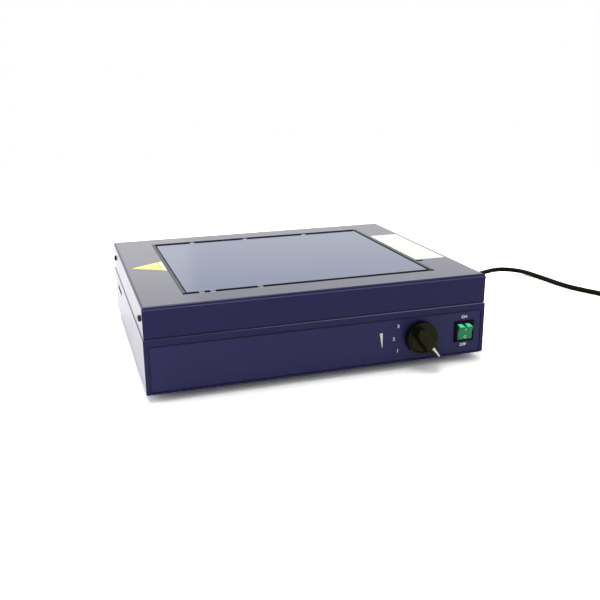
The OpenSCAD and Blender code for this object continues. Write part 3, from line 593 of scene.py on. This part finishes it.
# Each word with the place of its middle and the height of its capitals
for words, x, z, height in (
    ("ON", switch_x, 0.0494, 0.0031),
    ("OFF", switch_x, 0.0186, 0.0031),
    ("3", 0.0789, 0.0474, 0.0036),
    ("2", 0.0742, 0.0341, 0.0036),
    ("1", 0.0787, 0.0208, 0.0036),
):
    bpy.ops.object.select_all(action="DESELECT")
    bpy.ops.object.text_add(
        location=(x, film_y - ink_half, z), rotation=(math.pi / 2, 0, 0)
    )
    text = bpy.context.object.data
    text.body = words
    text.size = height / capital_share
    text.align_x, text.align_y = "CENTER", "CENTER"
    text.extrude = ink_half
    text.offset = 0.00016
    bpy.ops.object.convert(target="MESH")
    printed.append(settled())

# A wedge beside the numbers, wide at the bright end
wedge = block((0.0600, film_y - ink_half, 0.0341), (0.0034, 2 * ink_half, 0.016))
bpy.ops.object.mode_set(mode="EDIT")
pick("faces", lambda face: face.normal.z < -0.9)
bpy.ops.transform.resize(value=(0.15, 1, 1), center_override=(0.0617, film_y, 0.0261))
bpy.ops.object.mode_set(mode="OBJECT")
joined(wedge, *printed)
wedge.name = "panel_print"
wedge.data.materials.clear()
wedge.data.materials.append(print_white)
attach(wedge, "instrument")


# ---- Brightness knob ----
# A pointer knob moulded in black phenolic: a skirt with a dished face, and a
# bar with sloping sides. A white line is let into the bar near its tip.
phenolic, wire = finish("black_phenolic")
skin(
    wire,
    Base_Color=grain(wire, 90).colours((0.0025, 0.0028, 0.0004), (0.0045, 0.0050, 0.0008)),
    Roughness=0.16 + 0.06 * grain(wire, 120),
    Specular=0.25,
    Specular_Tint=(1.0, 1.0, 0.5),
    Normal=relief(wire, grain(wire, 1600), 0.00001),
)


def tidy(piece, width, segments):
    """Rounds a piece's sharp edges, and shades it smooth between them."""
    alone(piece)
    edge = piece.modifiers.new("rounded_edges", "BEVEL")
    edge.width, edge.segments = width, segments
    edge.limit_method, edge.angle_limit = "ANGLE", math.radians(24)
    edge.use_clamp_overlap = True
    bpy.ops.object.modifier_apply(modifier=edge.name)
    bpy.ops.object.shade_smooth_by_angle(angle=math.radians(32))


def set_down(piece, place):
    """Moves a piece by a matrix, and leaves its object at the origin."""
    alone(piece)
    piece.matrix_world = place
    settled()


# The skirt, with its face along +Z
skirt_r, skirt_h, face_z = 0.0174, 0.0076, 0.008
skirt = prism(96, skirt_r, skirt_h, (0, 0, 0.0042))
bpy.ops.object.mode_set(mode="EDIT")
pick("faces", lambda face: face.normal.z > 0.9)
bpy.ops.transform.resize(value=(0.955, 0.955, 1), center_override=(0, 0, face_z))
bpy.ops.mesh.inset(thickness=0.0016)
bpy.ops.mesh.inset(thickness=0.0008, depth=-0.0005)
bpy.ops.object.mode_set(mode="OBJECT")
tidy(skirt, 0.0006, 3)

# The bar, with its pointer along +X
bar = block((-0.00225, 0, 0.0082), (0.0293, 0.013, 0.0018))
bpy.ops.object.mode_set(mode="EDIT")
pick("faces", lambda face: face.normal.x > 0.9)
bpy.ops.mesh.extrude_region_move(TRANSFORM_OT_translate={"value": (0.0100, 0, 0)})
bpy.ops.transform.resize(value=(1, 0.26, 1), center_override=(0.0224, 0, face_z))
pick(
    "edges",
    lambda e: middle(e).x < -0.0168 and abs(e.verts[0].co.z - e.verts[1].co.z) > 0.001,
)
bpy.ops.mesh.bevel(offset=0.0064, segments=10)
pick("faces", lambda face: face.normal.z > 0.9)
bpy.ops.mesh.inset(thickness=0.0013, depth=0.0109)
bpy.ops.object.mode_set(mode="OBJECT")
tidy(bar, 0.0005, 3)

# The white line along the bar, over the end of its face
line = block((0.0148, 0, 0.01990), (0.0124, 0.0029, 0.0003))
bpy.ops.object.mode_set(mode="EDIT")
pick("faces", lambda face: face.normal.x > 0.9)
bpy.ops.transform.resize(value=(1, 0.5, 1), center_override=(0.021, 0, 0.0199))
bpy.ops.object.mode_set(mode="OBJECT")
tidy(line, 0.00008, 2)

knob_x, knob_y, knob_turned = 0.1035, -0.135, -52
on_shaft = (
    Matrix.Translation((knob_x, knob_y, control_z))
    @ Matrix.Rotation(math.pi / 2, 4, "X")
    @ Matrix.Rotation(math.radians(knob_turned), 4, "Z")
)
joined(skirt, bar)
for piece, name, material, node in (
    (skirt, "brightness_knob", phenolic, "intensity_knob"),
    (line, "pointer_line", print_white, "knob_index_line"),
):
    piece.name = name
    set_down(piece, on_shaft)
    piece.data.materials.append(material)
    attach(piece, "knob")
    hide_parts(node)


# ---- Mains switch ----
# A black snap-in housing with a rocker of green tinted plastic, whose two
# faces meet in a shallow V. A bar and a ring are printed on them.
moulded, wire = finish("black_moulding")
skin(
    wire,
    Base_Color=grain(wire, 90).colours((0.0025, 0.0022, 0.0028), (0.0050, 0.0045, 0.0055)),
    Roughness=0.35 + 0.15 * grain(wire, 110),
    Specular=0.08,
    Normal=relief(wire, grain(wire, 1600), 0.00002),
)
dress(moulded, "switch_housing", "power_inlet", "fuse_drawer")

# Painted highlight: two spots on the upper edge, left and right, glow in place of the light
# that falls on it
green, wire = finish("green_rocker")
across = along(wire, "X")
painted_glints = across.between(0.1474, 0.1526) + across.between(0.1562, 0.1612)
painted_glints = painted_glints * along(wire, "Z").between(0.0401, 0.0415)
skin(
    wire,
    Base_Color=grain(wire, 40).colours((0.006, 0.24, 0.095), (0.010, 0.32, 0.125)),
    Emission_Color=painted_glints.colours((0, 0, 0), (0.10, 0.75, 0.36)),
    Emission_Strength=0.9,
    Roughness=0.12 + 0.06 * grain(wire, 80),
    Specular=0.35,
    Coat_Weight=0.1,
)
rocker = block((0, 0, 0.00215), (0.0166, 0.0150, 0.0083))
bpy.ops.object.mode_set(mode="EDIT")
bpy.ops.mesh.select_all(action="SELECT")
bpy.ops.mesh.bisect(plane_co=(0, 0, 0), plane_no=(0, 1, 0))
pick("verts", lambda v: abs(v.co.y) < 0.0001 and v.co.z > 0)
bpy.ops.transform.translate(value=(0, 0, -0.0014))
pick("verts", lambda v: abs(v.co.y) > 0.007 and v.co.z < 0)
bpy.ops.transform.resize(value=(1, 0.99, 1), center_override=(0, 0, 0))
bpy.ops.object.mode_set(mode="OBJECT")
tidy(rocker, 0.0007, 4)

# The bar and the ring lie on the two sloping faces
face_slope, at_rest, pivot_y = math.radians(10.6), math.radians(10), -0.133
stroke = block((0, 0.0040, 0.00566), (0.0006, 0.0036, 0.0001), face_slope)
bpy.ops.mesh.primitive_torus_add(
    location=(0, -0.0046, 0.00577), rotation=(-face_slope, 0, 0), major_radius=0.00125,
    minor_radius=0.00026, major_segments=32, minor_segments=8,
)
marks = joined(settled(), stroke)
on_pivot = (
    Matrix.Translation((switch_x, pivot_y, control_z))
    @ Matrix.Rotation(math.pi / 2, 4, "X")
    @ Matrix.Rotation(at_rest, 4, "X")
)
rocker.name, marks.name = "green_rocker", "rocker_marks"
for piece, material in ((rocker, green), (marks, print_white)):
    set_down(piece, on_pivot)
    piece.data.materials.append(material)
    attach(piece, "rocker")
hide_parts("switch_rocker")


# ---- Lamps and gear inside ----
# Six tubes lie between white sockets over a troughed reflector, and three
# ballasts feed them from the floor of the chassis.
tube, wire = finish("lamp_tube")
capped = 1 - along(wire, "X").between(-0.132, 0.132)
skin(
    wire,
    Base_Color=capped.colours((0.80, 0.80, 0.86), (0.60, 0.60, 0.62)),
    Metallic=capped,
    Roughness=0.2 + 0.15 * grain(wire, 100),
)
dress(tube, *[f"lamp_{i}" for i in range(1, 7)])

urea, wire = finish("white_socket")
skin(
    wire,
    Base_Color=grain(wire, 60).colours((0.80, 0.80, 0.77), (0.88, 0.88, 0.85)),
    Roughness=0.4 + 0.15 * grain(wire, 90),
)
dress(urea, "lamp_sockets_left", "lamp_sockets_right")

enamel, wire = finish("ballast_enamel")
skin(
    wire,
    Base_Color=grain(wire, 25).colours((0.70, 0.70, 0.67), (0.80, 0.80, 0.77)),
    Roughness=0.4 + 0.15 * grain(wire, 70),
    Normal=relief(wire, grain(wire, 900), 0.00003),
)
dress(enamel, "ballast_1", "ballast_2", "ballast_3")

laminate, wire = finish("control_case")
skin(
    wire,
    Base_Color=grain(wire, 200).colours((0.05, 0.11, 0.07), (0.08, 0.16, 0.10)),
    Roughness=0.5 + 0.15 * grain(wire, 90),
)
dress(laminate, "dimmer_pot")

fuse_glass, wire = finish("fuse_glass")
skin(
    wire,
    Base_Color=grain(wire, 200).colours((0.70, 0.72, 0.74), (0.80, 0.82, 0.84)),
    Roughness=0.1 + 0.1 * grain(wire, 90),
)
dress(fuse_glass, "fuse")
